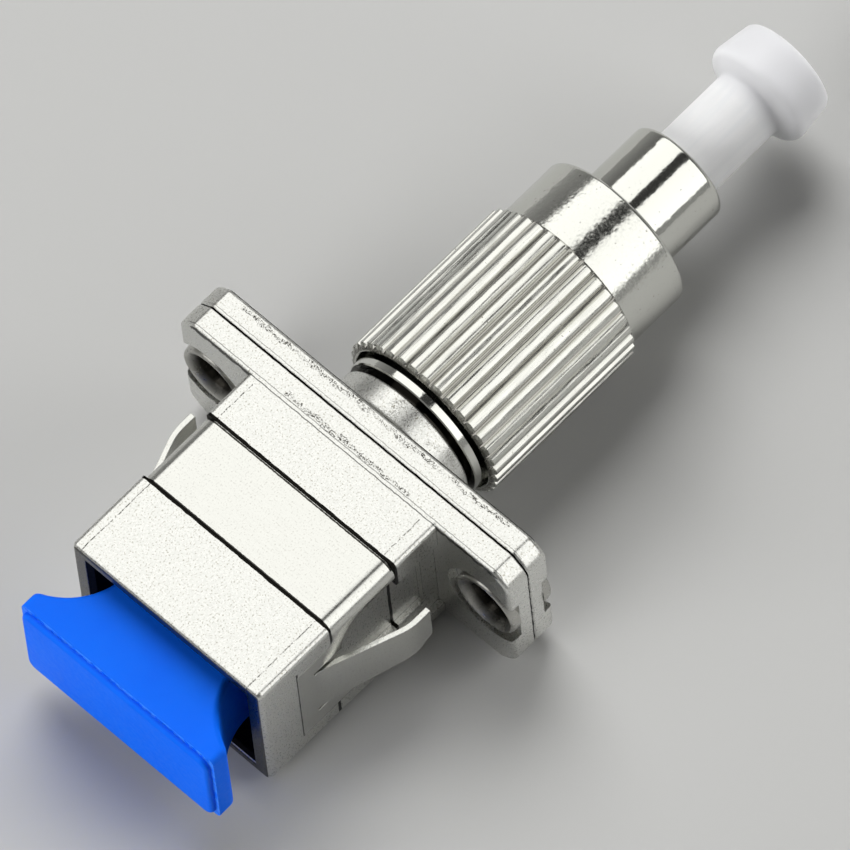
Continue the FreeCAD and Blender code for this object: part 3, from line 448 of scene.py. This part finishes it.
def makeSpringSteel():
    own = springSteel
    material = startMaterial("rolledStainlessStrip", {"Metallic": 1.0})
    tree, place = startPattern(material)
    x, y, z = addNode(tree, "SeparateXYZ", {0: place}).node.outputs
    along = 1 / own["streakLength"]
    drawn = addNode(tree, "VectorMath", {0: place, 1: (1.0, along, along)}, operation="MULTIPLY")
    streaks = addNode(tree, "TexNoise", {"Vector": drawn, "Scale": 1 / own["streak"], "Detail": 2.0})
    torn = addNode(tree, "TexNoise", {"Vector": place, "Scale": 1 / own["sheared"], "Detail": 2.0})
    grit = addNode(tree, "TexNoise", {"Vector": place, "Scale": 1 / own["grit"], "Detail": 1.0})
    specks = addNode(tree, "MapRange", {"Value": grit, "From Min": own["speckLevels"][0],
                                        "From Max": own["speckLevels"][1]})

    # painted shade along the rolled-over edges of the band, where they mirror dark
    ragged = addNode(tree, "Math", {0: torn, 1: own["bandSway"], 2: x}, operation="MULTIPLY_ADD")
    shift = own["bandSway"] * noiseMean
    edges = 0.0
    for edge in own["bandEdges"]:
        line = addNode(tree, "Math", {0: ragged, 1: edge + shift, 2: own["bandHalf"]}, operation="COMPARE")
        edges = addNode(tree, "Math", {0: edges, 1: line}, operation="MAXIMUM")
    onTop = addNode(tree, "Math", {0: z, 1: own["top"]}, operation="GREATER_THAN")
    edges = addNode(tree, "Math", {0: edges, 1: onTop}, operation="MULTIPLY")
    colour = hexColour(own["colour"])
    for mask, over in ((specks, "speck"), (edges, "edgeShade")):
        colour = addNode(tree, "Mix", {"Factor": mask, 6: colour, 7: hexColour(own[over])},
                         data_type="RGBA")
    gloss = addNode(tree, "MapRange", {"Value": streaks, "From Min": noiseLow, "From Max": noiseHigh,
                                       "To Min": own["roughness"][0], "To Max": own["roughness"][1]})

    # the tongues' upper edges, where the tool tore through
    sideways = addNode(tree, "Math", {0: y}, operation="ABSOLUTE")
    out = addNode(tree, "Math", {0: sideways, 1: own["tongueOut"]}, operation="GREATER_THAN")
    high = addNode(tree, "Math", {0: z, 1: own["tongueTop"]}, operation="GREATER_THAN")
    tear = out
    for mask in (high, torn):
        tear = addNode(tree, "Math", {0: tear, 1: mask}, operation="MULTIPLY")
    relief = addNode(tree, "Math", {0: tear, 1: own["tear"], 2: streaks}, operation="MULTIPLY_ADD")
    rounded = addNode(tree, "Bevel", {"Radius": own["edge"] * mm}, samples=4)
    bump = addNode(tree, "Bump", {"Height": relief, "Strength": own["bump"][0],
                                  "Distance": own["bump"][1] * mm, "Normal": rounded})
    connect(tree, {"Base Color": colour, "Roughness": gloss, "Normal": bump})
    return material


# nickel-plated brass, rolled over by a punch: bright lip, and painted shade with a brownish tint down the
# bore
# shade is the radius at which the bore's colour starts and the one at which it is full
rivetNickel = {"colour": "#B4B3AE", "bore": "#2F2D29", "shade": (1.75, 1.30), "centre": 9.5,
               "grain": 0.2, "roughness": (0.24, 0.40), "bump": (0.5, 0.01)}


def makeRivetNickel():
    own = rivetNickel
    material = startMaterial("punchedRivetNickel", {"Metallic": 1.0})
    tree, place = startPattern(material)
    parts = addNode(tree, "SeparateXYZ", {0: place}).node.outputs
    sideways = addNode(tree, "Math", {0: parts["Y"]}, operation="ABSOLUTE")
    across = addNode(tree, "Math", {0: sideways, 1: own["centre"]}, operation="SUBTRACT")
    square = addNode(tree, "Math", {0: across, 1: across}, operation="MULTIPLY")
    square = addNode(tree, "Math", {0: parts["Z"], 1: parts["Z"], 2: square}, operation="MULTIPLY_ADD")
    radius = addNode(tree, "Math", {0: square}, operation="SQRT")
    grain = addNode(tree, "TexNoise", {"Vector": place, "Scale": 1 / own["grain"], "Detail": 2.0})
    # painted shade, darkening into the bore
    inner = addNode(tree, "MapRange", {"Value": radius, "From Min": own["shade"][0],
                                       "From Max": own["shade"][1]})
    colour = addNode(tree, "Mix", {"Factor": inner, 6: hexColour(own["colour"]), 7: hexColour(own["bore"])},
                     data_type="RGBA")
    gloss = addNode(tree, "MapRange", {"Value": grain, "From Min": noiseLow, "From Max": noiseHigh,
                                       "To Min": own["roughness"][0], "To Max": own["roughness"][1]})
    bump = addNode(tree, "Bump", {"Height": grain, "Strength": own["bump"][0],
                                  "Distance": own["bump"][1] * mm})
    connect(tree, {"Base Color": colour, "Roughness": gloss, "Normal": bump})
    return material


# glass-filled resin, moulded: dark grey, dull, finely mottled
insertResin = {"colour": "#232426", "fleck": "#34363A", "grain": 0.25, "bump": (0.3, 0.02)}


def makeInsertResin():
    own = insertResin
    material = startMaterial("mouldedInsertResin", {"Roughness": 0.5, "IOR": 1.55})
    tree, place = startPattern(material)
    grain = addNode(tree, "TexNoise", {"Vector": place, "Scale": 1 / own["grain"], "Detail": 3.0})
    colour = addNode(tree, "Mix", {"Factor": grain, 6: hexColour(own["colour"]), 7: hexColour(own["fleck"])},
                     data_type="RGBA")
    bump = addNode(tree, "Bump", {"Height": grain, "Strength": own["bump"][0],
                                  "Distance": own["bump"][1] * mm})
    connect(tree, {"Base Color": colour, "Normal": bump})
    return material


# ground zirconia ceramic: warm white, polished, slightly translucent, with faint rings from grinding
groundZirconia = {"colour": "#F2EFE6", "shade": "#E6E1D4", "grain": 0.4, "ringStretch": 0.15,
                  "roughness": (0.10, 0.20), "soak": 0.4}


def makeZirconia():
    own = groundZirconia
    material = startMaterial("groundZirconia", {
        "IOR": 2.1, "Subsurface Weight": 0.2, "Subsurface Radius": (1.0, 0.9, 0.75),
        "Subsurface Scale": own["soak"] * mm})
    tree, place = startPattern(material)
    drawn = addNode(tree, "VectorMath", {0: place, 1: (1.0, own["ringStretch"], own["ringStretch"])},
                    operation="MULTIPLY")
    rings = addNode(tree, "TexNoise", {"Vector": drawn, "Scale": 1 / own["grain"], "Detail": 3.0})
    colour = addNode(tree, "Mix", {"Factor": rings, 6: hexColour(own["colour"]), 7: hexColour(own["shade"])},
                     data_type="RGBA")
    gloss = addNode(tree, "MapRange", {"Value": rings, "To Min": own["roughness"][0],
                                       "To Max": own["roughness"][1]})
    connect(tree, {"Base Color": colour, "Roughness": gloss})
    return material


# drawn silica: clear, with a fire-polished end
silicaFibre = {"colour": "#EAF2F8", "tint": "#DCE8F2", "grain": 0.125}


def makeFibreGlass():
    own = silicaFibre
    material = startMaterial("drawnSilica", {"Roughness": 0.05, "IOR": 1.46, "Transmission Weight": 1.0})
    tree, place = startPattern(material)
    core = addNode(tree, "TexNoise", {"Vector": place, "Scale": 1 / own["grain"]})
    colour = addNode(tree, "Mix", {"Factor": core, 6: hexColour(own["colour"]), 7: hexColour(own["tint"])},
                     data_type="RGBA")
    connect(tree, {"Base Color": colour})
    return material


# soft blue polyethylene from a mould: even colour, silky, pale bruised flash where the mould closed
bluePolyethylene = {"colour": "#0670FF", "cloud": "#0066FA", "flash": "#3D8BFF", "cloudSize": 2.5,
                    "skin": 0.35, "roughness": (0.46, 0.58), "flashLine": -16.45, "flashHalf": 0.035,
                    "flashSway": 0.10, "flashLevels": (0.40, 0.60), "flashHeight": 1.5,
                    "bump": (0.4, 0.02)}


def makeBluePolyethylene():
    own = bluePolyethylene
    material = startMaterial("mouldedBluePolyethylene", {"IOR": 1.51, "Specular IOR Level": 0.1})
    tree, place = startPattern(material)
    x = addNode(tree, "SeparateXYZ", {0: place})
    clouds = addNode(tree, "TexNoise", {"Vector": place, "Scale": 1 / own["cloudSize"], "Detail": 2.0})
    skin = addNode(tree, "TexNoise", {"Vector": place, "Scale": 1 / own["skin"], "Detail": 3.0})
    wavyX = addNode(tree, "Math", {0: skin, 1: own["flashSway"], 2: x}, operation="MULTIPLY_ADD")
    line = own["flashLine"] + own["flashSway"] * noiseMean
    flash = addNode(tree, "Math", {0: wavyX, 1: line, 2: own["flashHalf"]}, operation="COMPARE")
    worn = addNode(tree, "MapRange", {"Value": skin, "From Min": own["flashLevels"][0],
                                      "From Max": own["flashLevels"][1]})
    flash = addNode(tree, "Math", {0: flash, 1: worn}, operation="MULTIPLY")
    colour = hexColour(own["colour"])
    for mask, over in ((clouds, "cloud"), (flash, "flash")):
        colour = addNode(tree, "Mix", {"Factor": mask, 6: colour, 7: hexColour(own[over])},
                         data_type="RGBA")
    gloss = addNode(tree, "MapRange", {"Value": skin, "From Min": noiseLow, "From Max": noiseHigh,
                                       "To Min": own["roughness"][0], "To Max": own["roughness"][1]})
    relief = addNode(tree, "Math", {0: flash, 1: own["flashHeight"], 2: skin}, operation="MULTIPLY_ADD")
    bump = addNode(tree, "Bump", {"Height": relief, "Strength": own["bump"][0],
                                  "Distance": own["bump"][1] * mm})
    connect(tree, {"Base Color": colour, "Roughness": gloss, "Normal": bump})
    return material


# natural polyethylene: milky, light soaks in, faint flow streaks along the stem, and painted shade on the
# head, which is drawn greyer where it is solid, as if less light came through it
clearPolyethylene = {"colour": "#FBFBFC", "streakTint": "#F3F4F6", "head": "#ECECEE",
                     "headStart": (28.6, 29.4), "streak": 0.5, "streakStretch": 0.12,
                     "streakLevels": (0.35, 0.65), "soak": 0.7, "roughness": (0.32, 0.45),
                     "bump": (0.3, 0.02)}


def makeClearPolyethylene():
    own = clearPolyethylene
    material = startMaterial("naturalPolyethylene", {
        "IOR": 1.51, "Specular IOR Level": 0.2, "Transmission Weight": 0.1, "Subsurface Weight": 1.0,
        "Subsurface Radius": (1.0, 1.0, 1.0), "Subsurface Scale": own["soak"] * mm})
    tree, place = startPattern(material)
    drawn = addNode(tree, "VectorMath", {0: place, 1: (own["streakStretch"], 1.0, 1.0)},
                    operation="MULTIPLY")
    streaks = addNode(tree, "TexNoise", {"Vector": drawn, "Scale": 1 / own["streak"], "Detail": 2.0})
    tint = addNode(tree, "MapRange", {"Value": streaks, "From Min": own["streakLevels"][0],
                                      "From Max": own["streakLevels"][1]})
    x = addNode(tree, "SeparateXYZ", {0: place})
    # painted shade: the solid head is drawn greyer than the hollow stem
    headShade = addNode(tree, "MapRange", {"Value": x, "From Min": own["headStart"][0],
                                       "From Max": own["headStart"][1]})
    colour = hexColour(own["colour"])
    for mask, over in ((tint, "streakTint"), (headShade, "head")):
        colour = addNode(tree, "Mix", {"Factor": mask, 6: colour, 7: hexColour(own[over])},
                         data_type="RGBA")
    gloss = addNode(tree, "MapRange", {"Value": streaks, "From Min": noiseLow, "From Max": noiseHigh,
                                       "To Min": own["roughness"][0], "To Max": own["roughness"][1]})
    bump = addNode(tree, "Bump", {"Height": streaks, "Strength": own["bump"][0],
                                  "Distance": own["bump"][1] * mm})
    connect(tree, {"Base Color": colour, "Roughness": gloss, "Normal": bump})
    return material


finishes = {"cast": makeCastNickel(), "turned": makeTurnedNickel(), "nut": makeNutNickel(),
            "steel": makeSpringSteel(), "rivet": makeRivetNickel(), "resin": makeInsertResin(),
            "zirconia": makeZirconia(), "glass": makeFibreGlass(), "blue": makeBluePolyethylene(),
            "clear": makeClearPolyethylene()}
wear(finishes["cast"], "sc_housing", "fc_housing")
wear(finishes["turned"], "fc_barrel", "ferrule_collar")
wear(finishes["nut"], "coupling_nut")
wear(finishes["steel"], "retention_clip", "nut_snap_ring")
wear(finishes["rivet"], "flange_rivet_left", "flange_rivet_right")
wear(finishes["resin"], "latch_insert", "sleeve_holder_back")
wear(finishes["zirconia"], "split_sleeve", "ferrule")
wear(finishes["glass"], "fibre")
wear(finishes["blue"], "sc_dust_plug")
wear(finishes["clear"], "ferrule_cap")
print("materials on")


# selects in edit mode what passes a test, by its place or normal
def pick(kind, test):
    bpy.ops.mesh.select_mode(type=kind)
    bpy.ops.mesh.select_all(action="DESELECT")
    mesh = bpy.context.object.data
    shape = bmesh.from_edit_mesh(mesh)
    for part in {"VERT": shape.verts, "EDGE": shape.edges, "FACE": shape.faces}[kind]:
        if test(part):
            part.select_set(True)
    bmesh.update_edit_mesh(mesh)


# a line of points in the XZ plane (mm), drawn out from one corner of a plane
def drawProfile(name, points):
    bpy.ops.object.select_all(action="DESELECT")
    bpy.ops.mesh.primitive_plane_add(size=2 * mm)
    piece = bpy.context.object
    piece.name = name
    bpy.ops.object.mode_set(mode="EDIT")
    pick("VERT", lambda vert: vert.index > 0)
    bpy.ops.mesh.delete(type="VERT")
    bpy.ops.mesh.select_all(action="SELECT")
    here = Vector((-mm, -mm, 0))  # the corner that is left
    for number, (along, out) in enumerate(points):
        step = Vector((along * mm, 0, out * mm)) - here
        if number:
            bpy.ops.mesh.extrude_vertices_move(TRANSFORM_OT_translate={"value": step})
        else:
            bpy.ops.transform.translate(value=step)
        here += step
    return piece


# turns a drawn line round the part's axis, and drops what is left loose on the axis
def turnRound(steps):
    bpy.ops.mesh.select_all(action="SELECT")
    bpy.ops.mesh.spin(steps=steps, angle=2 * pi, center=(0, 0, 0), axis=(1, 0, 0))
    bpy.ops.mesh.select_all(action="SELECT")
    bpy.ops.mesh.remove_doubles(threshold=weld)
    bpy.ops.mesh.delete_loose()
    bpy.ops.mesh.select_all(action="SELECT")
    bpy.ops.mesh.normals_make_consistent(inside=False)


def finishPiece(piece, material, slot, body, *stoodFor, angle=35):
    bpy.ops.object.mode_set(mode="OBJECT")
    bpy.ops.object.select_all(action="DESELECT")
    piece.select_set(True)
    bpy.context.view_layer.objects.active = piece
    bpy.ops.object.shade_smooth_by_angle(angle=radians(angle))
    piece.data.materials.clear()
    piece.data.materials.append(material)
    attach(piece, body)
    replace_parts(piece, *stoodFor)


# hollow rivet: a thin lip round a bowl that narrows to the bore, the same at both ends
# flare is from the bore out over the lip to the shank: depth behind the flange face, radius
rivet = {"centre": rivetNickel["centre"], "length": 2.9, "steps": 72,
         "flare": ((1.10, 1.15), (0.88, 1.165), (0.68, 1.21), (0.50, 1.29), (0.34, 1.40), (0.20, 1.53),
                   (0.09, 1.66), (0.02, 1.77), (0.0, 1.83), (0.02, 1.89), (0.08, 1.945), (0.18, 1.98),
                   (0.32, 1.995), (0.595, 1.995), (0.595, 1.5))}


def makeRivets():
    front = list(rivet["flare"])
    back = [(rivet["length"] - depth, radius) for depth, radius in reversed(front)]
    piece = drawProfile("rivetLeft", front + back + front[:1])
    turnRound(rivet["steps"])
    bpy.ops.transform.translate(value=(0, rivet["centre"] * mm, 0))
    finishPiece(piece, finishes["rivet"], "rivet_metal", "root", "flange_rivet_left")
    bpy.ops.object.duplicate()
    other = bpy.context.object
    other.name = "rivetRight"
    bpy.ops.object.mode_set(mode="EDIT")
    bpy.ops.mesh.select_all(action="SELECT")
    bpy.ops.transform.translate(value=(0, -2 * rivet["centre"] * mm, 0))
    del other["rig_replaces"]  # the copy stands for the other rivet only
    finishPiece(other, finishes["rivet"], "rivet_metal", "root", "flange_rivet_right")


makeRivets()
print("rivets rolled")


# coupling nut: turned outline from the inner end of the thread round to the front face, straight
# knurl, and thread
# turns are place along the axis and radius; ridge is how far each of its points lies below the crest
# tooth is place in pitches, and 0 at the minor radius or 1 at the major one
nut = {"turns": ((11.35, 4.05), (11.35, 4.2), (10.45, 4.2), (10.45, 3.65), (9.45, 3.65), (9.45, 4.55),
                 (5.53, 4.55), (5.47, 4.61), (5.47, 4.73), (5.51, 4.80), (5.67, 5.08), (15.75, 5.08),
                 (15.91, 4.80), (15.95, 4.73), (15.95, 4.64), (19.65, 4.64), (19.746, 4.621),
                 (19.827, 4.567), (19.881, 4.486), (19.9, 4.39), (19.9, 4.10)),
       "ridges": 36, "ridge": (0.0, 0.001, 0.006, 0.03, 0.115, 0.24, 0.28), "crest": 5.08,
       "crestReach": 0.01, "smooth": 28,
       "pitch": 0.75, "minor": 3.594, "major": 4.0, "threadEnds": (11.35, 19.9), "leadIn": 0.45,
       "tooth": ((0, 0), (0.25, 0), (0.5625, 1), (0.6875, 1), (1, 0)), "rounds": 14, "threadSteps": 144}


def makeNut():
    half = len(nut["ridge"]) - 1  # points from a ridge's middle to its groove
    steps = 2 * half
    around = nut["ridges"] * steps
    (x0, r0), rest = nut["turns"][0], nut["turns"][1:]
    bpy.ops.object.select_all(action="DESELECT")
    bpy.ops.mesh.primitive_circle_add(vertices=around, radius=r0 * mm, location=(x0 * mm, 0, 0),
                                      rotation=(0, pi / 2, 0))
    piece = bpy.context.object
    piece.name = "knurledNut"
    bpy.ops.object.transform_apply(location=True, rotation=True, scale=True)
    bpy.ops.object.mode_set(mode="EDIT")
    bpy.ops.mesh.select_all(action="SELECT")
    for x1, r1 in rest:
        bpy.ops.mesh.extrude_region_move(TRANSFORM_OT_translate={"value": ((x1 - x0) * mm, 0, 0)})
        bpy.ops.transform.resize(value=(1, r1 / r0, r1 / r0), center_override=(x1 * mm, 0, 0))
        x0, r0 = x1, r1
    # grooves: each point of a ridge is drawn in towards the axis
    crest, reach = nut["crest"] * mm, nut["crestReach"] * mm
    for number, drop in enumerate(nut["ridge"]):
        if drop:
            def inGroove(vert):
                step = round((atan2(vert.co.y, vert.co.z) / (2 * pi) + 1) * around) % steps
                far = min(abs(step - half), steps - abs(step - half))
                return far == number and abs(hypot(vert.co.y, vert.co.z) - crest) < reach
            pick("VERT", inGroove)
            scale = 1 - drop / nut["crest"]
            bpy.ops.transform.resize(value=(1, scale, scale), center_override=(0, 0, 0))
    bpy.ops.object.mode_set(mode="OBJECT")

    thread = makeThread()
    bpy.ops.object.select_all(action="DESELECT")
    thread.select_set(True)
    piece.select_set(True)
    bpy.context.view_layer.objects.active = piece
    bpy.ops.object.join()
    bpy.ops.object.mode_set(mode="EDIT")
    # closes the ring between the outline and each end of the thread
    for place in nut["threadEnds"]:
        pick("EDGE", lambda edge: edge.is_boundary
             and all(abs(vert.co.x - place * mm) < weld for vert in edge.verts))
        bpy.ops.mesh.fill()
    bpy.ops.mesh.select_all(action="SELECT")
    bpy.ops.mesh.normals_make_consistent(inside=False)
    finishPiece(piece, finishes["nut"], "turned_nickel", "nut", "coupling_nut", angle=nut["smooth"])


def makeThread():
    pitch, low, high = nut["pitch"], nut["minor"], nut["major"]
    start, end = nut["threadEnds"]
    first = start - pitch
    thread = drawProfile("nutThread", [(first + along * pitch, high if out else low)
                                       for along, out in nut["tooth"]])
    bpy.ops.object.mode_set(mode="OBJECT")
    bpy.ops.object.transform_apply(location=True, rotation=True, scale=True)
    screw = thread.modifiers.new("helix", "SCREW")
    screw.axis = "X"
    screw.screw_offset = pitch * mm
    screw.iterations = nut["rounds"]
    screw.steps = screw.render_steps = nut["threadSteps"]
    screw.use_merge_vertices = True
    screw.merge_threshold = weld
    bpy.ops.object.modifier_apply(modifier="helix")
    bpy.ops.object.mode_set(mode="EDIT")
    bpy.ops.mesh.select_all(action="SELECT")
    bpy.ops.mesh.remove_doubles(threshold=weld)
    for place, keepFront in ((start, True), (end, False)):
        bpy.ops.mesh.select_all(action="SELECT")
        bpy.ops.mesh.bisect(plane_co=(place * mm, 0, 0), plane_no=(1, 0, 0), clear_inner=keepFront,
                            clear_outer=not keepFront, threshold=hair)
    # the lead-in cone takes the crests off at the front
    mesh = thread.data
    shape = bmesh.from_edit_mesh(mesh)
    for vert in shape.verts:
        radius = hypot(vert.co.y, vert.co.z)
        cone = low * mm + vert.co.x - (end - nut["leadIn"]) * mm
        if radius < cone:
            vert.co.y *= cone / radius
            vert.co.z *= cone / radius
    bmesh.update_edit_mesh(mesh)
    bpy.ops.object.mode_set(mode="OBJECT")
    return thread


makeNut()
print("nut knurled and threaded")


# dust plug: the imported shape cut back, with a raised soft-edged face set a little way into its front
plugFace = {"ledge": -16.45, "front": -16.8, "sunk": 0.2, "half": (6.43, 2.88), "corner": 0.6,
            "cornerSteps": 8, "edge": 0.22, "edgeSteps": 5, "smooth": 40}


def makePlug():
    own = plugFace
    bpy.ops.object.select_all(action="DESELECT")
    body = bpy.data.objects.new("bluePlug", nodes["sc_dust_plug"].data.copy())
    bpy.context.scene.collection.objects.link(body)
    bpy.context.view_layer.objects.active = body
    body.select_set(True)
    bpy.ops.object.mode_set(mode="EDIT")
    bpy.ops.mesh.select_all(action="SELECT")
    bpy.ops.mesh.customdata_custom_splitnormals_clear()
    bpy.ops.mesh.remove_doubles(threshold=hair)
    bpy.ops.mesh.bisect(plane_co=(own["ledge"] * mm, 0, 0), plane_no=(1, 0, 0), clear_inner=True,
                        use_fill=True, threshold=hair)
    bpy.ops.object.mode_set(mode="OBJECT")

    depth = own["ledge"] - own["front"] + own["sunk"]
    bpy.ops.object.select_all(action="DESELECT")
    bpy.ops.mesh.primitive_cube_add(size=2 * mm, location=((own["front"] + depth / 2) * mm, 0, 0),
                                    scale=(depth / 2, *own["half"]))
    bpy.ops.object.transform_apply(location=True, rotation=True, scale=True)
    bpy.ops.object.mode_set(mode="EDIT")
    pick("EDGE", lambda edge: abs(edge.verts[0].co.x - edge.verts[1].co.x) > depth / 2 * mm)
    bpy.ops.mesh.bevel(offset=own["corner"] * mm, segments=own["cornerSteps"])
    pick("FACE", lambda face: face.normal.x < -0.9)
    bpy.ops.mesh.region_to_loop()
    bpy.ops.mesh.bevel(offset=own["edge"] * mm, segments=own["edgeSteps"])
    bpy.ops.object.mode_set(mode="OBJECT")

    body.select_set(True)
    bpy.context.view_layer.objects.active = body
    bpy.ops.object.join()
    finishPiece(body, finishes["blue"], "blue_polyethylene", "dust_plug", "sc_dust_plug",
                angle=own["smooth"])


makePlug()
print("plug moulded")


# ferrule cap: a thin stem that flares into a button head, with the mark of the gate in its end
# outline is from the bore's mouth over the outside to the axis, then the bore's closed end: place
# along the axis, radius
cap = {"outline": ((16.60, 1.28), (16.60, 1.84), (16.65, 1.95), (16.76, 2.00), (29.42, 2.00),
                   (29.55, 2.02), (29.65, 2.075), (29.72, 2.16), (29.96, 2.78), (30.01, 2.88),
                   (30.10, 2.97), (30.22, 3.045), (30.38, 3.09), (30.56, 3.105), (32.30, 2.875),
                   (32.42, 2.845), (32.51, 2.775), (32.55, 2.67), (32.55, 0.75), (32.47, 0.66),
                   (32.47, 0.30), (32.52, 0.24), (32.52, 0.0), (29.05, 0.0), (29.05, 1.28),
                   (16.60, 1.28)),
       "steps": 96}


def makeCap():
    piece = drawProfile("ferruleCap", cap["outline"])
    turnRound(cap["steps"])
    finishPiece(piece, finishes["clear"], "clear_polyethylene", "tip_cap", "ferrule_cap")


makeCap()
print("cap turned")
